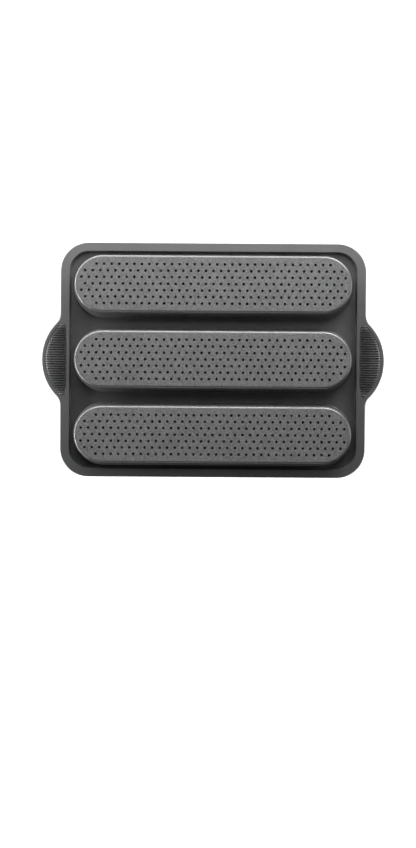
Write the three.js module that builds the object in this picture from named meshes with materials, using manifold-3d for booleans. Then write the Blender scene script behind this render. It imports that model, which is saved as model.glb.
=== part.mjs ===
// Baguette tray: one silicone moulding with three long pill-shaped troughs, perforated floors, a thick
// rim stiffened by a steel wire ring, and a ribbed ear handle at each short end.
//
// The tray lies mouth down. Its flat mouth face is on z = 0 and the perforated floors face +Z. The
// origin is the middle of the mouth face, +X runs along the troughs and +Y across them. Millimetres.
//
// The moulding is given as regions that meet on flat faces: the deck, the rim band, the trough walls,
// the trough floors and the ears. The wire ring lies loose in a groove under the rim band.

import * as THREE from 'three';
import { mergeVertices } from 'three/addons/utils/BufferGeometryUtils.js';
import Module from 'manifold-3d';

// Driving dimensions: whole tray
const HEIGHT = 30; // mouth face to the trough floors' outer faces
const DECK_THICKNESS = 2;
const OVERALL_LENGTH = 360; // over both ears

// Rim band
const RIM_LENGTH = 321;
const RIM_WIDTH = 246;
const RIM_CORNER_RADIUS = 30;
const RIM_LONG_BAND = 8.7; // width of the band along the tray's long sides
const RIM_SHORT_BAND = 9.4; // width of the band along its short sides
const RIM_INNER_CORNER_RADIUS = 21;
const RIM_TOP = 9.5; // flat face of the band and of the ears, above the mouth face
const RIM_INNER_LEAN = 0.4; // how far the band's inner wall leans out at its foot
const CORNER_STEPS = 8; // facets in a quarter turn of the rim

// Wire ring
const WIRE_INSET = 4.25; // middle of the wire, inside the rim's outer edge
const WIRE_DIAMETER = 2.5;
const WIRE_CLEARANCE = 0.3;
const WIRE_SIDES = 8;

// Troughs
const TROUGH_COUNT = 3;
const TROUGH_PITCH = 78;
const TROUGH_STRAIGHT = 228.5; // length between the centres of the two round ends
const TROUGH_FLOOR_RADIUS = 29.4; // outer radius of the round ends, where wall and floor would meet
const TROUGH_WALL = 1.9; // wall thickness, measured level
const TROUGH_DRAFT = THREE.MathUtils.degToRad(8);
const FLOOR_THICKNESS = 2;
const FLOOR_CHAMFER = 1.2;
const TROUGH_STEPS = 10; // facets in a quarter turn of a round end

// Perforations: a triangular lattice
const HOLE_DIAMETER = 2.6;
const HOLE_SIDES = 4;
const HOLE_PITCH = 7.8;
const HOLE_ROW_PITCH = HOLE_PITCH * Math.sqrt(3) / 2;
const HOLE_ROWS_EACH_SIDE = 3; // rows on each side of the middle row
const HOLE_FIELD_RADIUS = 23.5; // farthest a hole's centre may be from the trough's centre line

// Ears
const EAR_RADIUS = 55;
const EAR_BLEND_RADIUS = 14; // hollow corner between rim and ear
const EAR_STEPS = 16;
const BLEND_STEPS = 5;
const EAR_LIP = 3.2; // plain border round the ribs
const GRIP_INSET = 6.2; // the grip's recess starts this far inside the rim band's outer edge
const GRIP_HALF_WIDTH = 37.5;
const GRIP_DEPTH = 1.2;
const RIB_PITCH = 2.5;
const RIB_WIDTH = 1.1;
const RIB_CREST = 0.4; // how far the ribs stand above the ear's face
const RIB_CLEARANCE = 1.2; // between the ribs and the rim band's side of the grip recess
const CUT_MARGIN = 1; // how far a cutter stands out of what it cuts

// Worked out from the above
const RIM_HALF_LENGTH = RIM_LENGTH / 2;
const RIM_HALF_WIDTH = RIM_WIDTH / 2;
const EAR_CENTRE = OVERALL_LENGTH / 2 - EAR_RADIUS;
const GRIP_FLOOR = RIM_TOP - GRIP_DEPTH;
const GRIP_START = RIM_HALF_LENGTH - GRIP_INSET;
const RIB_TOP = RIM_TOP + RIB_CREST;

const SILICONE_RIM = new THREE.MeshStandardMaterial({ color: 0x636565, roughness: 0.55, metalness: 0 });
const SILICONE_WEB = new THREE.MeshStandardMaterial({ color: 0x444646, roughness: 0.6, metalness: 0 });
const SILICONE_FLOOR = new THREE.MeshStandardMaterial({ color: 0x727373, roughness: 0.85, metalness: 0 });
const STEEL = new THREE.MeshStandardMaterial({ color: 0xb8babd, roughness: 0.3, metalness: 1 });

const wasm = await Module();
wasm.setup();

// Outlines

// Points of an arc, both ends included, with the direction out of its centre at each.
function arc(centreX, centreY, radius, fromAngle, toAngle, steps) {
  return Array.from({ length: steps + 1 }, (_, step) => {
    const angle = fromAngle + (toAngle - fromAngle) * step / steps;
    const out = new THREE.Vector2(Math.cos(angle), Math.sin(angle));
    return { point: new THREE.Vector2(centreX, centreY).addScaledVector(out, radius), out };
  });
}

// Counterclockwise stations round a rectangle with round corners. A corner radius of half the width
// makes it a pill, whose paired corner arcs share a station.
function roundedLoop(halfLength, halfWidth, radius, steps) {
  const cornerSigns = [[1, -1], [1, 1], [-1, 1], [-1, -1]];
  const isPill = halfWidth === radius;
  return cornerSigns.flatMap(([signX, signY], corner) => {
    const from = (corner - 1) * Math.PI / 2;
    const centreX = signX * (halfLength - radius);
    const centreY = signY * (halfWidth - radius);
    const quarter = arc(centreX, centreY, radius, from, from + Math.PI / 2, steps);
    return isPill && corner % 2 === 1 ? quarter.slice(1) : quarter;
  });
}

const rimLoop = roundedLoop(RIM_HALF_LENGTH, RIM_HALF_WIDTH, RIM_CORNER_RADIUS, CORNER_STEPS);

const rimInnerLoop = roundedLoop(
  RIM_HALF_LENGTH - RIM_SHORT_BAND,
  RIM_HALF_WIDTH - RIM_LONG_BAND,
  RIM_INNER_CORNER_RADIUS,
  CORNER_STEPS,
);

const troughLoop = roundedLoop(
  TROUGH_STRAIGHT / 2 + TROUGH_FLOOR_RADIUS,
  TROUGH_FLOOR_RADIUS,
  TROUGH_FLOOR_RADIUS,
  TROUGH_STEPS,
);

function offsetPoints(loop, offset) {
  return loop.map(({ point, out }) => point.clone().addScaledVector(out, offset));
}

// The ear at +X, from the rim's edge, round a hollow blend, the big arc and the other blend.
function earPoints() {
  const blendX = RIM_HALF_LENGTH + EAR_BLEND_RADIUS;
  const reach = EAR_RADIUS + EAR_BLEND_RADIUS;
  const blendY = Math.sqrt(reach ** 2 - (blendX - EAR_CENTRE) ** 2);
  const meet = Math.atan2(blendY, blendX - EAR_CENTRE);
  const turns = [
    arc(blendX, -blendY, EAR_BLEND_RADIUS, Math.PI, Math.PI - meet, BLEND_STEPS),
    arc(EAR_CENTRE, 0, EAR_RADIUS, -meet, meet, EAR_STEPS).slice(1, -1),
    arc(blendX, blendY, EAR_BLEND_RADIUS, Math.PI + meet, Math.PI, BLEND_STEPS),
  ];
  const points = turns.flat().map(({ point }) => point);
  // Both ends lie exactly on the rim's edge, so that ear and band meet on one plane.
  points[0].x = RIM_HALF_LENGTH;
  points[points.length - 1].x = RIM_HALF_LENGTH;
  return points;
}

// The whole tray seen from above: the rim's outline with an ear let into each short side.
function trayOutline() {
  const cornerPoints = rimLoop.map(({ point }) => point);
  const quarter = CORNER_STEPS + 1;
  const rightHalf = [
    ...cornerPoints.slice(0, quarter),
    ...earPoints(),
    ...cornerPoints.slice(quarter, 2 * quarter),
  ];
  const leftHalf = rightHalf.map((point) => point.clone().negate());
  return [...rightHalf, ...leftHalf];
}

// Solids

function extrude(outline, holes, bottom, top) {
  const shape = new THREE.Shape(outline);
  shape.holes = holes.map((points) => new THREE.Path(points));
  const geometry = new THREE.ExtrudeGeometry(shape, { depth: top - bottom, bevelEnabled: false });
  return geometry.translate(0, 0, bottom);
}

// Joins closed rings of equally many points into a tube that closes on itself. The rings are
// given counterclockwise round the tube's section, with outward to the right.
function joinRings(rings) {
  const positions = rings.flatMap(({ points, height }) => (
    points.flatMap((point) => [point.x, point.y, height])
  ));
  const index = [];
  const count = rings[0].points.length;
  rings.forEach((_, side) => {
    const here = side * count;
    const next = ((side + 1) % rings.length) * count;
    for (let station = 0; station < count; station += 1) {
      const ahead = (station + 1) % count;
      index.push(here + station, here + ahead, next + ahead);
      index.push(here + station, next + ahead, next + station);
    }
  });
  const geometry = new THREE.BufferGeometry();
  geometry.setAttribute('position', new THREE.Float32BufferAttribute(positions, 3));
  geometry.setIndex(index);
  return geometry;
}

function ring(loop, outward, height) {
  return { points: offsetPoints(loop, outward), height };
}

function toManifold(geometry) {
  const bare = geometry.clone();
  bare.deleteAttribute('normal');
  bare.deleteAttribute('uv');
  const merged = mergeVertices(bare);
  return new wasm.Manifold(new wasm.Mesh({
    numProp: 3,
    vertProperties: new Float32Array(merged.attributes.position.array),
    triVerts: new Uint32Array(merged.index.array),
  }));
}

function fromManifold(solid) {
  const { vertProperties, triVerts } = solid.getMesh();
  const geometry = new THREE.BufferGeometry();
  geometry.setAttribute('position', new THREE.BufferAttribute(vertProperties, 3));
  geometry.setIndex(new THREE.BufferAttribute(triVerts, 1));
  return geometry;
}

// How much farther out than at the floor's face the drafted wall stands at a height.
function draftAt(height) {
  return (HEIGHT - height) * Math.tan(TROUGH_DRAFT);
}

// Deck and troughs

function troughCentreY(index) {
  return (index - (TROUGH_COUNT - 1) / 2) * TROUGH_PITCH;
}

// Flat plate the troughs hang from, open at each trough's mouth.
function deckGeometry() {
  const mouth = offsetPoints(troughLoop, draftAt(DECK_THICKNESS) - TROUGH_WALL).reverse();
  const mouths = Array.from({ length: TROUGH_COUNT }, (_, index) => {
    const shift = new THREE.Vector2(0, troughCentreY(index));
    return mouth.map((point) => point.clone().add(shift));
  });
  return extrude(trayOutline(), mouths, 0, DECK_THICKNESS);
}

// Leaning wall from the deck up to the underside of the floor plate.
function troughWallGeometry() {
  const bottom = DECK_THICKNESS;
  const top = HEIGHT - FLOOR_THICKNESS;
  return joinRings([
    ring(troughLoop, draftAt(bottom), bottom),
    ring(troughLoop, draftAt(top), top),
    ring(troughLoop, draftAt(top) - TROUGH_WALL, top),
    ring(troughLoop, draftAt(bottom) - TROUGH_WALL, bottom),
  ]);
}

// Distance of a point from the trough's centre line, which ends at the round ends' centres.
function fromCentreLine(x, y) {
  return Math.hypot(Math.max(Math.abs(x) - TROUGH_STRAIGHT / 2, 0), y);
}

function holeCentres() {
  const centres = [];
  for (let row = -HOLE_ROWS_EACH_SIDE; row <= HOLE_ROWS_EACH_SIDE; row += 1) {
    const y = row * HOLE_ROW_PITCH;
    const isShifted = row % 2 !== 0;
    const reach = Math.ceil(TROUGH_STRAIGHT / HOLE_PITCH);
    for (let column = -reach; column <= reach; column += 1) {
      const x = (column + (isShifted ? 0.5 : 0)) * HOLE_PITCH;
      if (fromCentreLine(x, y) < HOLE_FIELD_RADIUS) centres.push(new THREE.Vector2(x, y));
    }
  }
  return centres;
}

// Perforated floor plate. Its outer edge is cut back at the top to a chamfer.
function troughFloorGeometry() {
  const bottom = HEIGHT - FLOOR_THICKNESS;
  const hole = arc(0, 0, HOLE_DIAMETER / 2, 2 * Math.PI, 0, HOLE_SIDES).slice(0, -1);
  const holes = holeCentres().map((centre) => hole.map(({ point }) => point.clone().add(centre)));
  const outline = offsetPoints(troughLoop, draftAt(bottom));
  const geometry = extrude(outline, holes, bottom, HEIGHT);
  const position = geometry.attributes.position;
  const edgeRadius = TROUGH_FLOOR_RADIUS + draftAt(bottom);
  const kept = (edgeRadius - FLOOR_CHAMFER) / edgeRadius;
  for (let i = 0; i < position.count; i += 1) {
    const x = position.getX(i);
    const y = position.getY(i);
    const isOutsideHoles = fromCentreLine(x, y) > HOLE_FIELD_RADIUS + HOLE_DIAMETER;
    if (isOutsideHoles && position.getZ(i) === HEIGHT) {
      const spineX = THREE.MathUtils.clamp(x, -TROUGH_STRAIGHT / 2, TROUGH_STRAIGHT / 2);
      position.setXY(i, spineX + (x - spineX) * kept, y * kept);
    }
  }
  return geometry;
}

// Rim

// Recess for the ribs of the +X ear: straight along the rim band, round along the ear's lip.
function gripPoints(inset) {
  const radius = EAR_RADIUS - EAR_LIP;
  const reach = Math.asin(GRIP_HALF_WIDTH / radius);
  const start = GRIP_START + inset;
  const round = arc(EAR_CENTRE, 0, radius, -reach, reach, EAR_STEPS).map(({ point }) => point);
  return [
    new THREE.Vector2(start, -GRIP_HALF_WIDTH),
    ...round,
    new THREE.Vector2(start, GRIP_HALF_WIDTH),
  ];
}

function gripCutter() {
  return toManifold(extrude(gripPoints(0), [], GRIP_FLOOR, RIM_TOP + CUT_MARGIN));
}

// Thick band on the deck's edge, grooved from below for the wire and recessed at both grips.
function rimBandGeometry() {
  const grooveHalf = WIRE_DIAMETER / 2 + WIRE_CLEARANCE;
  const grooveTop = DECK_THICKNESS + WIRE_DIAMETER + WIRE_CLEARANCE;
  const band = joinRings([
    ring(rimLoop, 0, DECK_THICKNESS),
    ring(rimLoop, 0, RIM_TOP),
    ring(rimInnerLoop, 0, RIM_TOP),
    ring(rimInnerLoop, -RIM_INNER_LEAN, DECK_THICKNESS),
    ring(rimLoop, -WIRE_INSET - grooveHalf, DECK_THICKNESS),
    ring(rimLoop, -WIRE_INSET - grooveHalf, grooveTop),
    ring(rimLoop, -WIRE_INSET + grooveHalf, grooveTop),
    ring(rimLoop, -WIRE_INSET + grooveHalf, DECK_THICKNESS),
  ]);
  const cutter = gripCutter();
  return fromManifold(toManifold(band).subtract(cutter).subtract(cutter.rotate([0, 0, 180])));
}

// Steel wire bent round to a closed ring, lying on the deck inside the groove.
function rimWireGeometry() {
  const radius = WIRE_DIAMETER / 2;
  const rings = Array.from({ length: WIRE_SIDES }, (_, side) => {
    const angle = (side + 0.5) / WIRE_SIDES * 2 * Math.PI;
    const height = DECK_THICKNESS + WIRE_CLEARANCE / 2 + radius + radius * Math.sin(angle);
    return ring(rimLoop, -WIRE_INSET + radius * Math.cos(angle), height);
  });
  return joinRings(rings);
}

// Ears

// One box for each rib, cut to the grip's outline.
function gripRibs() {
  const length = OVERALL_LENGTH / 2 - GRIP_START;
  const height = RIB_TOP - GRIP_FLOOR;
  const count = 2 * Math.floor(GRIP_HALF_WIDTH / RIB_PITCH);
  const ribs = Array.from({ length: count }, (_, index) => {
    const y = (index - (count - 1) / 2) * RIB_PITCH;
    const rib = new THREE.BoxGeometry(length, RIB_WIDTH, height);
    return toManifold(rib.translate(GRIP_START + length / 2, y, GRIP_FLOOR + height / 2));
  });
  const field = toManifold(extrude(gripPoints(RIB_CLEARANCE), [], GRIP_FLOOR, RIB_TOP));
  return ribs.reduce((all, rib) => all.add(rib)).intersect(field);
}

// Ear outside the rim band, from the deck up. Its ribs run on over the band's recess.
function handleGeometry() {
  const body = toManifold(extrude(earPoints(), [], DECK_THICKNESS, RIM_TOP));
  return fromManifold(body.subtract(gripCutter()).add(gripRibs()));
}

// Assembly

const tray = new THREE.Group();

function place(name, geometry, material) {
  const mesh = new THREE.Mesh(geometry, material);
  mesh.name = name;
  tray.add(mesh);
  return mesh;
}

place('deck', deckGeometry(), SILICONE_WEB);
place('rim_band', rimBandGeometry(), SILICONE_RIM);
place('rim_wire', rimWireGeometry(), STEEL);

['front', 'middle', 'back'].forEach((side, index) => {
  const wall = place(`trough_wall_${side}`, troughWallGeometry(), SILICONE_WEB);
  const floor = place(`trough_floor_${side}`, troughFloorGeometry(), SILICONE_FLOOR);
  wall.position.y = troughCentreY(index);
  floor.position.y = troughCentreY(index);
});

place('handle_right', handleGeometry(), SILICONE_RIM);
place('handle_left', handleGeometry(), SILICONE_RIM).rotation.z = Math.PI;

export default tray;
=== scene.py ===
"""Looks of the perforated silicone baguette tray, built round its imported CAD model.

Every silicone node is replaced by a finer moulding with rounded edges, round holes and ribbed grips.
The tray lies mouth down, as in its frame. Shapes are worked out in millimetres and stored in metres.
"""

import math

import bpy
from mathutils import Matrix, Vector
from mathutils.geometry import delaunay_2d_cdt


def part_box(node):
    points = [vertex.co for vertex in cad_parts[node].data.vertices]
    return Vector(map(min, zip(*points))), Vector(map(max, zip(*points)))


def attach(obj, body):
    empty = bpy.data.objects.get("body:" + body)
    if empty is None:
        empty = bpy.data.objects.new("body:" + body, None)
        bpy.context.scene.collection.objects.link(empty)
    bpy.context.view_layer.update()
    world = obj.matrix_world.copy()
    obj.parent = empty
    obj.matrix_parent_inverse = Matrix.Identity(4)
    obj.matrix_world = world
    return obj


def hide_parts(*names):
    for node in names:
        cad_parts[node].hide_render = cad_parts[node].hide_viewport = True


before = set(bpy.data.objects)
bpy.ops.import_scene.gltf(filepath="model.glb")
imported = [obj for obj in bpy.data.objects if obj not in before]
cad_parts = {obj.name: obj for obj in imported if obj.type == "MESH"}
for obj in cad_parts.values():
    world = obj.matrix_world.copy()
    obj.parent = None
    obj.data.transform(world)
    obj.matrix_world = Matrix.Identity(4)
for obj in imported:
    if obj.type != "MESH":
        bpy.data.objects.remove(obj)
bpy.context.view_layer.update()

MM = 0.001
SIDES = ("front", "middle", "back")


def box_mm(node):
    """Lowest and highest corner of a CAD node, in millimetres."""
    low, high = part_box(node)
    return low / MM, high / MM


# ---------------------------------------------------------------- sizes, in millimetres

_, deck_high = box_mm("deck")
_, rim_high = box_mm("rim_band")
floor_low, floor_high = box_mm("trough_floor_middle")
_, wall_high = box_mm("trough_wall_middle")
wire_low, wire_high = box_mm("rim_wire")

EAR_TIP = deck_high.x
DECK_TOP = deck_high.z
RIM_X = rim_high.x
RIM_Y = rim_high.y
RIM_TOP = rim_high.z
HEIGHT = floor_high.z
FLOOR_UNDERSIDE = floor_low.z
TROUGH_STRAIGHT = 2 * (floor_high.x - floor_high.y)
TROUGH_SLOPE = (wall_high.y - floor_high.y) / (FLOOR_UNDERSIDE - DECK_TOP)
TROUGH_RADIUS = floor_high.y - TROUGH_SLOPE * (HEIGHT - FLOOR_UNDERSIDE)
TROUGH_CENTRES = {}
for side in SIDES:
    low, high = box_mm(f"trough_floor_{side}")
    TROUGH_CENTRES[side] = (low.y + high.y) / 2

# Troughs
TROUGH_WALL = 1.9
TROUGH_STEPS = 32  # facets in a quarter turn of a round end
FOOT_FILLET = 0.5
TOP_FILLET = 2.6
INNER_FILLET = 1.5
FILLET_STEPS = 8
MOUTH_LIP = 0.8
MOUTH_LIP_STEPS = 6
STRAIGHT_STEPS = 12  # faces along each straight side, of a trough or of the rim

# Holes
HOLE_PITCH = 7.8
HOLE_ROW_PITCH = HOLE_PITCH * math.sqrt(3) / 2
HOLE_ROWS_EACH_SIDE = 3
HOLE_FIELD_RADIUS = 23.5
HOLE_SIDES = 16
HOLE_RADIUS = 1.4
HOLE_EDGE = 0.12
HOLE_EDGE_STEPS = 2

# Rim
RIM_CORNER = 30.0
SIDE_BAND = 9.4  # width of the rim's flat face along the short sides
LONG_BAND = 8.7  # and along the long sides
INNER_CORNER = 21.0
RIM_LEAN = 0.3 / 4.5  # of the inner side, towards the troughs per unit of depth
RIM_OUTER_EDGE = 0.5
RIM_INNER_EDGE = 0.5
RIM_FOOT_FILLET = 0.6
RIM_EDGE_STEPS = 6
RIM_CORNER_STEPS = 24
DECK_EDGE = 0.6
DECK_EDGE_STEPS = 5
WIRE_RADIUS = (wire_high.z - wire_low.z) / 2
WIRE_OUTWARD = wire_high.x - RIM_X - WIRE_RADIUS  # from the outline to the wire's middle
WIRE_HEIGHT = (wire_high.z + wire_low.z) / 2
WIRE_SIDES = 20

# Ears
EAR_RADIUS = 55.0
EAR_BLEND = 14.0
EAR_LIP = 3.2
EAR_STEPS = 40
BLEND_STEPS = 12
EAR_REACH = 52.0  # the ear piece takes the rim band with it as far as this from its middle
GRIP_TIP = EAR_TIP - EAR_LIP
GRIP_INSET = 6.6
GRIP_BACK = RIM_X - GRIP_INSET  # the grip's straight side, on the rim band
GRIP_HALF_WIDTH = 37.5
GRIP_DEEP = 2.1  # depth of the grip's floor by its straight side
GRIP_SHALLOW = 0.3  # and at its tip, at its ends and where it meets that side
GRIP_SLOPE = 1.1  # the floor falls over this length from the straight side
GRIP_END_SLOPE = 9.0  # and over this length from the grip's ends
GRIP_EDGE = 0.15
GRIP_EDGE_STEPS = 3
GRIP_CORNER = 5.0  # at both ends of the straight side
RIB_GAP = 1.5  # plain floor between the straight side and the ribs
RIB_PITCH = 2.5
RIB_CREST = 0.9  # how far the ribs stand above the ear's face
RIB_NARROWING_TIP = 1.0  # power of a rib's profile at the ear's tip: higher is narrower
RIB_NARROWING_BACK = 3.0  # and at the grip's straight side
RIB_SAMPLES = 12  # grid rows in one rib pitch
RIB_RISE = 0.7  # a rib rises from the floor over this length at its inner end
RIB_RAMP = 3.0  # and falls over this length at the ear's edge
RIB_END_PARTS = (0, 0.25, 0.5, 0.75, 1)  # grid columns that divide a rib's gap, rise and fall
SLOPE_STEP = 0.02  # either side, to measure a rib's slope


# ---------------------------------------------------------------- camera, placed in metres

CAMERA_PLACE = (-0.0016, -0.0518, 1.2)
CAMERA_TILT = (-0.727, 0.154, 0.395)  # degrees away from straight down, with +Y up in the picture
CAMERA_LENS = 48.0
CAMERA_CLIP = (0.01, 50.0)


def make_camera():
    """Camera high above the tray that looks almost straight down."""
    data = bpy.data.cameras.new("camera")
    data.lens = CAMERA_LENS
    data.clip_start, data.clip_end = CAMERA_CLIP
    camera = bpy.data.objects.new("camera", data)
    camera.location = CAMERA_PLACE
    camera.rotation_euler = [math.radians(angle) for angle in CAMERA_TILT]
    bpy.context.scene.collection.objects.link(camera)
    bpy.context.scene.camera = camera


# ---------------------------------------------------------------- outlines
# A loop is a counterclockwise list of stations (x, y, outward x, outward y).


def arc_stations(centre_x, centre_y, radius, start, end, steps, bulge=1):
    """Stations along an arc. With bulge -1 the outline is hollow there, and outward is to the centre."""
    stations = []
    for step in range(steps + 1):
        angle = start + (end - start) * step / steps
        cos, sin = math.cos(angle), math.sin(angle)
        stations.append((centre_x + radius * cos, centre_y + radius * sin, bulge * cos, bulge * sin))
    return stations


def quarter_turns(half_x, half_y, radius, steps):
    """The four corner arcs of a rectangle with round corners, starting at the one at +X -Y."""
    turns = []
    for corner, (sign_x, sign_y) in enumerate(((1, -1), (1, 1), (-1, 1), (-1, -1))):
        start = (corner - 1) * math.pi / 2
        centre = (sign_x * (half_x - radius), sign_y * (half_y - radius))
        turns.append(arc_stations(*centre, radius, start, start + math.pi / 2, steps))
    return turns


def straight(start, end):
    """Stations between two others on a straight side, so that no face there is long and thin."""
    stations = []
    for step in range(1, STRAIGHT_STEPS):
        x = start[0] + (end[0] - start[0]) * step / STRAIGHT_STEPS
        y = start[1] + (end[1] - start[1]) * step / STRAIGHT_STEPS
        stations.append((x, y, start[2], start[3]))
    return stations


def trough_loop():
    """A pill. Its paired quarter turns meet at the tips, so one of each pair drops its first station."""
    half_x = TROUGH_STRAIGHT / 2 + TROUGH_RADIUS
    turns = quarter_turns(half_x, TROUGH_RADIUS, TROUGH_RADIUS, TROUGH_STEPS)
    right_half = turns[0] + turns[1][1:] + straight(turns[1][-1], turns[2][0])
    return right_half + half_turned(right_half)


def circle_loop(centre_x, centre_y, radius, sides):
    """A full circle, without the last station, which is the first again."""
    return arc_stations(centre_x, centre_y, radius, 0, 2 * math.pi, sides)[:-1]


def shifted(loop, centre_y):
    return [(x, y + centre_y, out_x, out_y) for x, y, out_x, out_y in loop]


def half_turned(stations):
    """The stations turned by 180 degrees about the tray's middle."""
    return [(-x, -y, -out_x, -out_y) for x, y, out_x, out_y in stations]


def ear_path():
    """Edge of the ear at +X: hollow blend, big arc, hollow blend."""
    centre_x = EAR_TIP - EAR_RADIUS
    blend_x = RIM_X + EAR_BLEND
    blend_y = math.sqrt((EAR_RADIUS + EAR_BLEND) ** 2 - (blend_x - centre_x) ** 2)
    meet = math.atan2(blend_y, blend_x - centre_x)
    lower = arc_stations(blend_x, -blend_y, EAR_BLEND, math.pi, math.pi - meet, BLEND_STEPS, -1)
    tip = arc_stations(centre_x, 0, EAR_RADIUS, -meet, meet, EAR_STEPS)
    upper = arc_stations(blend_x, blend_y, EAR_BLEND, math.pi + meet, math.pi, BLEND_STEPS, -1)
    return lower + tip[1:-1] + upper


def tray_loop():
    """Whole outline, with both ears."""
    turns = quarter_turns(RIM_X, RIM_Y, RIM_CORNER, RIM_CORNER_STEPS)
    right_half = turns[0] + ear_path() + turns[1] + straight(turns[1][-1], turns[2][0])
    return right_half + half_turned(right_half)


# ---------------------------------------------------------------- sections
# A section is a list of (outward, height, lean outward, lean up): a point of a cross-section and the
# direction its surface faces. Sections run counterclockwise, with outward to the right.


def section_arc(centre, radius, start, end, steps, bulge=1):
    """Arc in a cross-section, angles in degrees. bulge -1 is a hollow fillet."""
    points = []
    for step in range(steps + 1):
        angle = math.radians(start + (end - start) * step / steps)
        cos, sin = math.cos(angle), math.sin(angle)
        points.append((centre[0] + radius * cos, centre[1] + radius * sin, bulge * cos, bulge * sin))
    return points


DRAFT = math.degrees(math.atan(TROUGH_SLOPE))
DRAFT_COS = math.cos(math.radians(DRAFT))
DRAFT_SIN = math.sin(math.radians(DRAFT))


def outer_face(height):
    """Offset of the trough wall's outer face from the pill loop."""
    return TROUGH_SLOPE * (HEIGHT - height)


def inner_face(height):
    """The same for its inner face."""
    return outer_face(height) - TROUGH_WALL


def floor_cut():
    """Where the frosted floor plate meets the wall: at its top face and at its underside."""
    top_height = HEIGHT - TOP_FILLET
    inner_height = FLOOR_UNDERSIDE - INNER_FILLET
    top = outer_face(top_height) - TOP_FILLET / DRAFT_COS
    underside = inner_face(inner_height) - INNER_FILLET / DRAFT_COS
    return top, underside


def wall_foot_section():
    """Outer foot of a trough wall, a hollow fillet."""
    height = DECK_TOP + FOOT_FILLET
    centre = (outer_face(height) + FOOT_FILLET / DRAFT_COS, height)
    return section_arc(centre, FOOT_FILLET, 270, 180 + DRAFT, FILLET_STEPS, -1)


def wall_edge_section():
    """Rounded edge between a trough wall and the floor plate's top."""
    top, _ = floor_cut()
    return section_arc((top, HEIGHT - TOP_FILLET), TOP_FILLET, DRAFT, 90, FILLET_STEPS)


def wall_inner_section():
    """Inside of a trough wall, down from the floor plate's underside to the mouth."""
    _, underside = floor_cut()
    centre = (underside, FLOOR_UNDERSIDE - INNER_FILLET)
    return [
        *section_arc(centre, INNER_FILLET, 90, DRAFT, FILLET_STEPS, -1),
        (inner_face(DECK_TOP), DECK_TOP, -DRAFT_COS, -DRAFT_SIN),
    ]


def rim_outer_section():
    """Outer side of the rim band, from the deck up to the band's flat face."""
    centre = (-RIM_OUTER_EDGE, RIM_TOP - RIM_OUTER_EDGE)
    return [(0, DECK_TOP, 1, 0), *section_arc(centre, RIM_OUTER_EDGE, 0, 90, 2 * RIM_EDGE_STEPS)]


def rim_inner_section():
    """Inner side of the rim band, measured from the loop of its top edge. It runs up from the deck, so
    clockwise, and has as many points as the outer side."""
    lean = math.degrees(math.atan(RIM_LEAN))
    lean_cos = math.cos(math.radians(lean))

    def face(height):
        return -RIM_LEAN * (RIM_TOP - height)

    foot_height = DECK_TOP + RIM_FOOT_FILLET
    foot_centre = (face(foot_height) - RIM_FOOT_FILLET / lean_cos, foot_height)
    edge_height = RIM_TOP - RIM_INNER_EDGE
    edge_centre = (face(edge_height) + RIM_INNER_EDGE / lean_cos, edge_height)
    return [
        *section_arc(foot_centre, RIM_FOOT_FILLET, -90, -lean, RIM_EDGE_STEPS, -1),
        *section_arc(edge_centre, RIM_INNER_EDGE, 180 - lean, 90, RIM_EDGE_STEPS),
    ]


# ---------------------------------------------------------------- shells

SHARP_ANGLE = 40
SHARP_COS = math.cos(math.radians(SHARP_ANGLE))
INSIDE_EDGES = 1  # kind of triangulation: only the faces inside its edges
SAME_POINT = 1e-7  # it joins points closer than this


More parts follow.
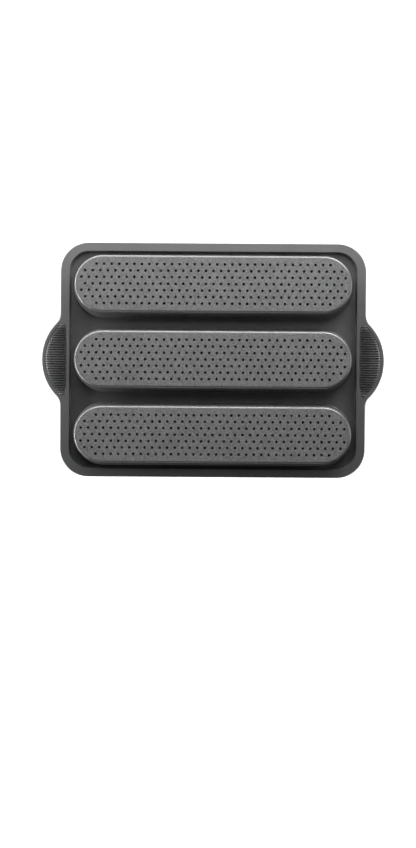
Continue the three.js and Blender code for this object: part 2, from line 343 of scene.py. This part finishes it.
class Shell:
    """A closed mesh made of rings of points. Each point carries the direction its surface faces, and a
    face corner takes it unless the face turns away from it by more than the sharp angle."""

    def __init__(self):
        self.points = []
        self.directions = []
        self.faces = []
        self.corner_normals = []
        self.polished = set()

    def add_point(self, point, direction):
        self.points.append(Vector(point))
        self.directions.append(Vector(direction).normalized())
        return len(self.points) - 1

    def ring(self, loop, section_point):
        """Points round a loop, all at one point of a cross-section."""
        outward, height, lean_out, lean_up = section_point
        return [
            self.add_point(
                (x + out_x * outward, y + out_y * outward, height),
                (out_x * lean_out, out_y * lean_out, lean_up),
            )
            for x, y, out_x, out_y in loop
        ]

    def face(self, corners):
        a, b, c = (self.points[i] for i in corners[:3])
        normal = (b - a).cross(c - a)
        if len(corners) == 4:
            normal = (c - a).cross(self.points[corners[3]] - b)
        normal.normalize()
        self.faces.append(corners)
        for i in corners:
            direction = self.directions[i]
            self.corner_normals.append(direction if direction.dot(normal) > SHARP_COS else normal)

    def flat_face(self, corners, normal):
        """A face whose corners all face one way."""
        self.faces.append(corners)
        self.corner_normals.extend([Vector(normal)] * len(corners))

    def bridge(self, low, high, closed=True):
        """Quads between two rings, or two lines of points. Going up an outer side, they face outward."""
        for i in range(len(low) if closed else len(low) - 1):
            j = (i + 1) % len(low)
            self.face([low[i], low[j], high[j], high[i]])

    def bridge_all(self, rings, closed=True):
        for low, high in zip(rings, rings[1:]):
            self.bridge(low, high, closed)

    def bridge_polished(self, rings):
        """As bridge_all, in polished faces."""
        first = len(self.faces)
        self.bridge_all(rings)
        self.polished.update(range(first, len(self.faces)))

    def fill(self, outer, holes, up):
        """Flat, level face inside a ring and outside its holes. The holes are convex, so a triangle with
        all its corners on one hole's ring lies in that hole, and is left out."""
        owner = {}
        order = []
        edges = []
        for ring_number, ring in enumerate([outer, *holes]):
            first = len(order)
            order.extend(ring)
            edges.extend((first + i, first + (i + 1) % len(ring)) for i in range(len(ring)))
            owner.update({i: ring_number for i in range(first, len(order))})
        flat = [self.points[i].to_2d() for i in order]
        _, _, triangles, origins, _, _ = delaunay_2d_cdt(flat, edges, [], INSIDE_EDGES, SAME_POINT)
        for triangle in triangles:
            corners = [origins[i][0] for i in triangle]
            rings = {owner[i] for i in corners}
            if len(rings) == 1 and 0 not in rings:
                continue
            a, b, c = (flat[i] for i in corners)
            is_upward = (b - a).cross(c - a) > 0
            if is_upward != up:
                corners.reverse()
            self.flat_face([order[i] for i in corners], (0, 0, 1 if up else -1))

    def to_object(self, name, *materials):
        """A new object, in metres. Polished faces take the second material."""
        mesh = bpy.data.meshes.new(name)
        mesh.from_pydata([point * MM for point in self.points], [], self.faces)
        mesh.shade_smooth()
        mesh.normals_split_custom_set(self.corner_normals)
        for material in materials:
            mesh.materials.append(material)
        for face in self.polished:
            mesh.polygons[face].material_index = 1
        piece = bpy.data.objects.new(name, mesh)
        bpy.context.scene.collection.objects.link(piece)
        return piece


def place_piece(piece, node):
    """Hangs a piece on the root body and hides the CAD node it stands for."""
    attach(piece, "root")
    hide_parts(node)


def moved_copy(piece, name, matrix):
    copy = piece.copy()
    copy.name = name
    copy.data = piece.data.copy()
    copy.data.name = name
    copy.data.transform(matrix)
    bpy.context.scene.collection.objects.link(copy)
    return copy


# ---------------------------------------------------------------- deck and troughs


def make_deck(material):
    """Flat plate that the troughs hang from, with a rounded outer edge and rounded mouths."""
    shell = Shell()
    outer_section = [
        *section_arc((-DECK_EDGE, DECK_EDGE), DECK_EDGE, 270, 360, DECK_EDGE_STEPS),
        (0, DECK_TOP, 1, 0),
    ]
    outer_rings = [shell.ring(tray_loop(), point) for point in outer_section]
    shell.bridge_all(outer_rings)
    lip_centre = (inner_face(MOUTH_LIP) + MOUTH_LIP / DRAFT_COS, MOUTH_LIP)
    mouth_section = [
        (inner_face(DECK_TOP), DECK_TOP, -DRAFT_COS, -DRAFT_SIN),
        *section_arc(lip_centre, MOUTH_LIP, 180 + DRAFT, 270, MOUTH_LIP_STEPS),
    ]
    tops, bottoms = [], []
    for centre_y in TROUGH_CENTRES.values():
        loop = shifted(trough_loop(), centre_y)
        rings = [shell.ring(loop, point) for point in mouth_section]
        shell.bridge_all(rings)
        tops.append(rings[0])
        bottoms.append(rings[-1])
    shell.fill(outer_rings[-1], tops, up=True)
    shell.fill(outer_rings[0], bottoms, up=False)
    place_piece(shell.to_object("deck_plate", material), "deck")


def copy_to_troughs(pattern, name, node):
    """Replaces a pattern at the tray's middle by a copy at each trough."""
    for side, centre_y in TROUGH_CENTRES.items():
        shift = Matrix.Translation((0, centre_y * MM, 0))
        place_piece(moved_copy(pattern, f"{name}_{side}", shift), f"{node}_{side}")
    bpy.data.objects.remove(pattern)


def make_trough_walls(material, edge_material):
    """Leaning side walls, each from its foot on the deck over its rounded edge and down inside."""
    shell = Shell()
    foot = [shell.ring(trough_loop(), point) for point in wall_foot_section()]
    edge = [shell.ring(trough_loop(), point) for point in wall_edge_section()]
    inside = [shell.ring(trough_loop(), point) for point in wall_inner_section()]
    shell.bridge_all([inside[-1], *foot, edge[0]])
    shell.bridge_polished(edge)
    shell.bridge_all([edge[-1], *inside])
    pattern = shell.to_object("trough_wall", material, edge_material)
    copy_to_troughs(pattern, "trough_side", "trough_wall")


def hole_centres():
    """Staggered rows, with as many holes as fit in the pill-shaped field."""
    centres = []
    reach = math.ceil(TROUGH_STRAIGHT / HOLE_PITCH)
    for row in range(-HOLE_ROWS_EACH_SIDE, HOLE_ROWS_EACH_SIDE + 1):
        y = row * HOLE_ROW_PITCH
        shift = 0.5 if row % 2 else 0.0
        for column in range(-reach, reach + 1):
            x = (column + shift) * HOLE_PITCH
            if math.hypot(max(abs(x) - TROUGH_STRAIGHT / 2, 0), y) < HOLE_FIELD_RADIUS:
                centres.append((x, y))
    return centres


def hole_section():
    """Wall of a hole, from the outer face down, with a rounded edge at each end."""
    top_centre = (HOLE_EDGE, HEIGHT - HOLE_EDGE)
    bottom_centre = (HOLE_EDGE, FLOOR_UNDERSIDE + HOLE_EDGE)
    return [
        *section_arc(top_centre, HOLE_EDGE, 90, 180, HOLE_EDGE_STEPS),
        *section_arc(bottom_centre, HOLE_EDGE, 180, 270, HOLE_EDGE_STEPS),
    ]


def make_trough_floors(material):
    """Perforated plates, each inside its wall."""
    shell = Shell()
    top, underside = floor_cut()
    edge_section = [(underside, FLOOR_UNDERSIDE, 1, 0), (top, HEIGHT, 1, 0)]
    edge_rings = [shell.ring(trough_loop(), point) for point in edge_section]
    shell.bridge_all(edge_rings)
    tops, bottoms = [], []
    for x, y in hole_centres():
        loop = circle_loop(x, y, HOLE_RADIUS, HOLE_SIDES)
        rings = [shell.ring(loop, point) for point in hole_section()]
        shell.bridge_all(rings)
        tops.append(rings[0])
        bottoms.append(rings[-1])
    shell.fill(edge_rings[-1], tops, up=True)
    shell.fill(edge_rings[0], bottoms, up=False)
    pattern = shell.to_object("trough_floor", material)
    copy_to_troughs(pattern, "perforated_floor", "trough_floor")


# ---------------------------------------------------------------- rim and ears


def add_rim_stretch(shell, stations, inner_stations):
    """One stretch of rim band between two ears, closed by a flat face at each end."""
    rings = [shell.ring(stations, point) for point in rim_outer_section()]
    rings += [shell.ring(inner_stations, point) for point in reversed(rim_inner_section())]
    shell.bridge_all([*rings, rings[0]], closed=False)
    start = [ring[0] for ring in rings]
    end = [ring[-1] for ring in rings]
    first, last = stations[0], stations[-1]
    shell.flat_face(start, (first[3], -first[2], 0))
    shell.flat_face(end[::-1], (-last[3], last[2], 0))


def back_stretch(half_x, half_y, radius):
    """Outline of the rim from one ear piece to the other, round the tray's back."""
    turns = quarter_turns(half_x, half_y, radius, RIM_CORNER_STEPS)
    back = straight(turns[1][-1], turns[2][0])
    return [(half_x, EAR_REACH, 1, 0), *turns[1], *back, *turns[2], (-half_x, EAR_REACH, -1, 0)]


def make_rim(material):
    """The thick band round the tray, in two stretches between the ears."""
    outer = back_stretch(RIM_X, RIM_Y, RIM_CORNER)
    inner = back_stretch(RIM_X - SIDE_BAND, RIM_Y - LONG_BAND, INNER_CORNER)
    shell = Shell()
    add_rim_stretch(shell, outer, inner)
    add_rim_stretch(shell, half_turned(outer), half_turned(inner))
    place_piece(shell.to_object("rim", material), "rim_band")


def grip_edge_x(y):
    """Where the grip's round side crosses a rib line."""
    return EAR_TIP - EAR_RADIUS + math.sqrt((EAR_RADIUS - EAR_LIP) ** 2 - y**2)


def grip_start_x(y):
    """Where the grip's straight side crosses a rib line, with a round corner at each end."""
    past = min(max(abs(y) - (GRIP_HALF_WIDTH - GRIP_CORNER), 0), GRIP_CORNER)
    return GRIP_BACK + GRIP_CORNER - math.sqrt(GRIP_CORNER**2 - past**2)


def rib_span(y):
    """Where the grip starts, where a rib starts and ends, and over what lengths it rises and falls.
    At the grip's ends, where there is little room, they are shorter."""
    start, end = grip_start_x(y), grip_edge_x(y)
    first = start + min(RIB_GAP, (end - start) / 4)
    rise = min(RIB_RISE, (end - first) / 4)
    ramp = min(RIB_RAMP, (end - first) / 2)
    return start, first, end, rise, ramp


def smooth_step(value):
    """Rises from 0 to 1 as the value does, level at both ends."""
    part = min(max(value, 0.0), 1.0)
    return part * part * (3 - 2 * part)


def rib_height(x, y):
    """Height of the ribbed grip above the mouth face."""
    start, first, end, rise, ramp = rib_span(min(max(y, -GRIP_HALF_WIDTH), GRIP_HALF_WIDTH))
    inward = (GRIP_TIP - x) / (GRIP_TIP - GRIP_BACK)
    side_slope = smooth_step((x - start) / GRIP_SLOPE)
    end_slope = smooth_step((GRIP_HALF_WIDTH - abs(y)) / GRIP_END_SLOPE)
    depth = GRIP_SHALLOW + (GRIP_DEEP - GRIP_SHALLOW) * inward * side_slope * end_slope
    swell = 0.5 - 0.5 * math.cos(2 * math.pi * (y + GRIP_HALF_WIDTH) / RIB_PITCH)
    narrowing = RIB_NARROWING_TIP + (RIB_NARROWING_BACK - RIB_NARROWING_TIP) * inward
    risen = smooth_step(min((x - first) / rise, (end - x) / ramp))
    return RIM_TOP - depth + (depth + RIB_CREST) * swell**narrowing * risen


def rib_direction(x, y):
    """The direction that the grip's surface faces."""
    slope_x = (rib_height(x + SLOPE_STEP, y) - rib_height(x - SLOPE_STEP, y)) / (2 * SLOPE_STEP)
    slope_y = (rib_height(x, y + SLOPE_STEP) - rib_height(x, y - SLOPE_STEP)) / (2 * SLOPE_STEP)
    return (-slope_x, -slope_y, 1)


def grip_columns(y):
    """Where the grid's columns cross a rib line: close together at the ribs' ends."""
    start, first, end, rise, ramp = rib_span(y)
    sloping = [start + (first - start) * part for part in RIB_END_PARTS[:-1]]
    rising = [first + rise * part for part in RIB_END_PARTS]
    falling = [end - ramp * part for part in reversed(RIB_END_PARTS)]
    return [*sloping, *rising, (rising[-1] + falling[0]) / 2, *falling]


def add_grip(shell):
    """Ribbed grip and the low wall round it. Returns the ring where the wall meets the ear's face."""
    rows = round(2 * GRIP_HALF_WIDTH / RIB_PITCH) * RIB_SAMPLES
    grid = []
    for row in range(rows + 1):
        y = -GRIP_HALF_WIDTH + 2 * GRIP_HALF_WIDTH * row / rows
        line = [shell.add_point((x, y, rib_height(x, y)), rib_direction(x, y)) for x in grip_columns(y)]
        grid.append(line)
    shell.bridge_all(grid, closed=False)
    boundary = [
        *grid[0],
        *(line[-1] for line in grid[1:-1]),
        *reversed(grid[-1]),
        *(line[0] for line in reversed(grid[1:-1])),
    ]
    outline = [shell.points[i] for i in boundary]
    loop = []
    for i, point in enumerate(outline):
        along = outline[(i + 1) % len(outline)] - outline[i - 1]
        outward = Vector((along.y, -along.x)).normalized()
        loop.append((point.x, point.y, outward.x, outward.y))
    section = section_arc((GRIP_EDGE, RIM_TOP - GRIP_EDGE), GRIP_EDGE, 90, 180, GRIP_EDGE_STEPS)
    rings = [shell.ring(loop, point) for point in section]
    shell.bridge_all(rings)
    shell.bridge(rings[-1], boundary)
    return rings[0]


def make_ears(material):
    """Each ear takes in the stretch of rim band it grows from, so its grip runs across both."""
    outer_path = [(RIM_X, -EAR_REACH, 1, 0), *ear_path(), (RIM_X, EAR_REACH, 1, 0)]
    inner_x = RIM_X - SIDE_BAND
    inner_start = (inner_x, EAR_REACH, 1, 0)
    inner_end = (inner_x, -EAR_REACH, 1, 0)
    inner_path = [inner_start, *straight(inner_start, inner_end), inner_end]
    shell = Shell()
    rings = [
        shell.ring(outer_path, outer) + shell.ring(inner_path, inner)
        for outer, inner in zip(rim_outer_section(), rim_inner_section())
    ]
    shell.bridge_all(rings)
    grip_ring = add_grip(shell)
    shell.fill(rings[-1], [grip_ring], up=True)
    shell.fill(rings[0], [], up=False)
    right = shell.to_object("ear_right", material)
    left = moved_copy(right, "ear_left", Matrix.Rotation(math.pi, 4, "Z"))
    place_piece(right, "handle_right")
    place_piece(left, "handle_left")


def make_wire(material):
    """Steel ring moulded into the rim."""
    loop = sum(quarter_turns(RIM_X, RIM_Y, RIM_CORNER, RIM_CORNER_STEPS), [])
    section = section_arc((WIRE_OUTWARD, WIRE_HEIGHT), WIRE_RADIUS, 0, 360, WIRE_SIDES)[:-1]
    shell = Shell()
    rings = [shell.ring(loop, point) for point in section]
    shell.bridge_all([*rings, rings[0]])
    place_piece(shell.to_object("wire_ring", material), "rim_wire")


# ---------------------------------------------------------------- materials

SATIN_GREY = (0.109, 0.111, 0.110)
FROSTED_GREY = (0.152, 0.154, 0.153)
STEEL_GREY = (0.56, 0.56, 0.57)
FLOOR_WHITE = (0.86, 0.86, 0.86)
NOISE_RANGE = (0.3, 0.7)  # most of a noise lies between these


class Nodes:
    """Short ways to add and join shader nodes of one material. Lengths are in millimetres."""

    def __init__(self, name):
        self.material = bpy.data.materials.new(name)
        self.material.use_nodes = True
        self.tree = self.material.node_tree
        self.shader = self.tree.nodes["Principled BSDF"]
        self.place = self.add("ShaderNodeTexCoord").outputs["Object"]

    def add(self, kind, **values):
        node = self.tree.nodes.new(kind)
        for name, value in values.items():
            setattr(node, name, value)
        return node

    def link(self, source, target):
        self.tree.links.new(source, target)

    def noise(self, feature, detail=2.0, roughness=0.5):
        """Noise whose features are about this long."""
        node = self.add("ShaderNodeTexNoise")
        node.inputs["Scale"].default_value = 1 / (feature * MM)
        node.inputs["Detail"].default_value = detail
        node.inputs["Roughness"].default_value = roughness
        self.link(self.place, node.inputs["Vector"])
        return node.outputs["Fac"]

    def spread(self, source, low, high, source_range=NOISE_RANGE):
        """The source, stretched from its range to run from low to high."""
        node = self.add("ShaderNodeMapRange")
        node.inputs["From Min"].default_value, node.inputs["From Max"].default_value = source_range
        node.inputs["To Min"].default_value = low
        node.inputs["To Max"].default_value = high
        self.link(source, node.inputs["Value"])
        return node.outputs["Result"]

    def multiply(self, first, second):
        node = self.add("ShaderNodeMath", operation="MULTIPLY")
        self.link(first, node.inputs[0])
        self.link(second, node.inputs[1])
        return node.outputs["Value"]

    def tint(self, color, strength):
        """A colour made lighter and darker by a factor that changes over the surface."""
        node = self.add("ShaderNodeVectorMath", operation="SCALE")
        node.inputs["Vector"].default_value = color
        self.link(strength, node.inputs["Scale"])
        return node.outputs["Vector"]

    def bump(self, height, distance, strength, below=None):
        """Relief of a height between 0 and 1 times a distance, on top of the relief below it."""
        node = self.add("ShaderNodeBump")
        node.inputs["Distance"].default_value = distance * MM
        node.inputs["Strength"].default_value = strength
        self.link(height, node.inputs["Height"])
        if below is not None:
            self.link(below, node.inputs["Normal"])
        return node.outputs["Normal"]

    def shader_input(self, name):
        return self.shader.inputs[name.replace("_", " ")]

    def drive(self, **sources):
        """Shader inputs that change over the surface."""
        for name, source in sources.items():
            self.link(source, self.shader_input(name))

    def fix(self, **values):
        """Shader inputs that are the same all over it."""
        for name, value in values.items():
            self.shader_input(name).default_value = value


def smooth_silicone(name, **values):
    """Moulded silicone with a satin skin: faint cloudiness, and a very fine grain."""
    nodes = Nodes(name)
    cloud = nodes.spread(nodes.noise(34, detail=3), low=0.93, high=1.07)
    speck = nodes.spread(nodes.noise(0.9, roughness=0.6), low=0.95, high=1.05)
    wave = nodes.bump(nodes.noise(14, detail=1), distance=0.25, strength=0.25)
    nodes.drive(
        Base_Color=nodes.tint(SATIN_GREY, nodes.multiply(cloud, speck)),
        Roughness=nodes.spread(nodes.noise(5, detail=3), low=0.29, high=0.37),
        Normal=nodes.bump(nodes.noise(0.35), distance=0.03, strength=0.25, below=wave),
    )
    nodes.fix(**values)
    return nodes.material


def frosted_silicone():
    """Silicone cast on a sand-blasted face: lighter, matt and grainy."""
    nodes = Nodes("silicone_frosted")
    cloud = nodes.spread(nodes.noise(22, detail=3), low=0.95, high=1.05)
    grains = nodes.noise(0.78, detail=1, roughness=0.7)
    speck = nodes.spread(grains, low=0.6, high=1.4, source_range=(0.4, 0.6))
    coarse = nodes.bump(nodes.noise(0.8, roughness=0.6), distance=0.2, strength=0.7)
    nodes.drive(
        Base_Color=nodes.tint(FROSTED_GREY, nodes.multiply(cloud, speck)),
        Roughness=nodes.spread(nodes.noise(3), low=0.66, high=0.78),
        Normal=nodes.bump(nodes.noise(0.4), distance=0.05, strength=0.6, below=coarse),
    )
    nodes.fix(Specular_IOR_Level=0.4)
    return nodes.material


def drawn_steel():
    """Steel wire with fine drawing marks."""
    nodes = Nodes("steel_wire")
    speck = nodes.spread(nodes.noise(0.6, detail=3), low=0.88, high=1.08)
    nodes.drive(
        Base_Color=nodes.tint(STEEL_GREY, speck),
        Roughness=nodes.spread(nodes.noise(0.5), low=0.28, high=0.42),
        Normal=nodes.bump(nodes.noise(0.2), distance=0.01, strength=0.4),
    )
    nodes.fix(Metallic=1.0)
    return nodes.material


def studio_white():
    """Matt white floor, very faintly cloudy."""
    nodes = Nodes("studio_floor")
    cloud = nodes.spread(nodes.noise(400), low=0.99, high=1.01)
    nodes.drive(Base_Color=nodes.tint(FLOOR_WHITE, cloud))
    nodes.fix(Roughness=0.9, Specular_IOR_Level=0.1)
    return nodes.material


# ---------------------------------------------------------------- stage, in metres

FLOOR_HALF_SIZE = 12.0

# name: azimuth, elevation, distance, width, depth, watts
SOFTBOXES = {
    "back_low": (0, 14, 0.6, 0.8, 0.2, 4.1),
    "back_raised": (0, 45, 0.6, 0.8, 0.18, 1.3),
    "back_high": (0, 68, 0.9, 0.8, 0.18, 0.9),
    "back_left": (320, 14, 0.75, 0.4, 0.2, 1.5),
    "back_right": (40, 20, 0.75, 0.4, 0.2, 2.9),
    "left_strip": (270, 10, 0.75, 0.9, 0.1, 4.4),
    "left_front": (240, 10, 0.75, 0.5, 0.1, 1.4),
    "left_back": (300, 12, 0.75, 0.5, 0.1, 1.2),
    "right_fill": (90, 20, 0.9, 0.5, 0.16, 1.6),
    "front_fill": (180, 4, 0.9, 0.8, 0.06, 0.6),
}
LIGHT_TARGET_HEIGHT = 0.02

WASH_AZIMUTHS = {"back": 0, "right": 90, "front": 180, "left": 270}
WASH_ELEVATION = 30
WASH_DISTANCE = 2.0
WASH_ANGLE = 20
WASH_STRENGTH = 3.8


def make_floor(material):
    """White floor that throws no light back on the tray."""
    half = FLOOR_HALF_SIZE
    mesh = bpy.data.meshes.new("studio_floor")
    corners = [(-half, -half, 0), (half, -half, 0), (half, half, 0), (-half, half, 0)]
    mesh.from_pydata(corners, [], [(0, 1, 2, 3)])
    mesh.materials.append(material)
    floor = bpy.data.objects.new("studio_floor", mesh)
    bpy.context.scene.collection.objects.link(floor)
    floor.visible_diffuse = False
    floor.visible_glossy = False
    return floor


def lit_objects(name, piece, state):
    """Collection that lets a light reach only this piece (INCLUDE) or all the others (EXCLUDE)."""
    collection = bpy.data.collections.new(name)
    collection.objects.link(piece)
    collection.collection_objects[0].light_linking.link_state = state
    return collection


def sky_direction(azimuth, elevation):
    """Unit vector to a point of the sky. Azimuth turns from +Y towards +X. Degrees."""
    around, up = math.radians(azimuth), math.radians(elevation)
    return Vector((math.cos(up) * math.sin(around), math.cos(up) * math.cos(around), math.sin(up)))


def add_light(name, data, azimuth, elevation, distance):
    """Light that looks at the tray's middle from a direction and distance."""
    light = bpy.data.objects.new(name, data)
    direction = sky_direction(azimuth, elevation)
    light.location = Vector((0, 0, LIGHT_TARGET_HEIGHT)) + direction * distance
    light.rotation_euler = (-direction).to_track_quat("-Z", "Y").to_euler()
    light.visible_camera = False
    bpy.context.scene.collection.objects.link(light)
    return light


def make_lights(floor):
    """Softboxes light the tray alone and low suns the floor alone, whose light stays out of the holes."""
    all_but_floor = lit_objects("all_but_floor", floor, "EXCLUDE")
    only_floor = lit_objects("only_floor", floor, "INCLUDE")
    for name, (azimuth, elevation, distance, width, depth, watts) in SOFTBOXES.items():
        data = bpy.data.lights.new(name, "AREA")
        data.shape = "RECTANGLE"
        data.size = width
        data.size_y = depth
        data.energy = watts
        light = add_light(name, data, azimuth, elevation, distance)
        light.light_linking.receiver_collection = all_but_floor
    for side, azimuth in WASH_AZIMUTHS.items():
        data = bpy.data.lights.new(f"floor_wash_{side}", "SUN")
        data.energy = WASH_STRENGTH
        data.angle = math.radians(WASH_ANGLE)
        light = add_light(f"floor_wash_{side}", data, azimuth, WASH_ELEVATION, WASH_DISTANCE)
        light.light_linking.receiver_collection = only_floor


def make_world():
    """White surroundings that only the camera sees."""
    world = bpy.data.worlds.new("studio")
    world.use_nodes = True
    background = world.node_tree.nodes["Background"]
    background.inputs["Color"].default_value = (1, 1, 1, 1)
    background.inputs["Strength"].default_value = 1.0
    world.cycles_visibility.diffuse = False
    world.cycles_visibility.glossy = False
    bpy.context.scene.world = world


# ---------------------------------------------------------------- the scene

make_camera()

satin = smooth_silicone("silicone_smooth", Specular_IOR_Level=0.88)
polished = smooth_silicone("silicone_edge", IOR=1.7, Specular_IOR_Level=1.0)
frosted = frosted_silicone()
steel = drawn_steel()

make_deck(satin)
make_trough_walls(satin, polished)
make_trough_floors(frosted)
make_rim(satin)
make_ears(satin)
make_wire(steel)

make_lights(make_floor(studio_white()))
make_world()
bpy.context.scene.view_settings.view_transform = "Standard"
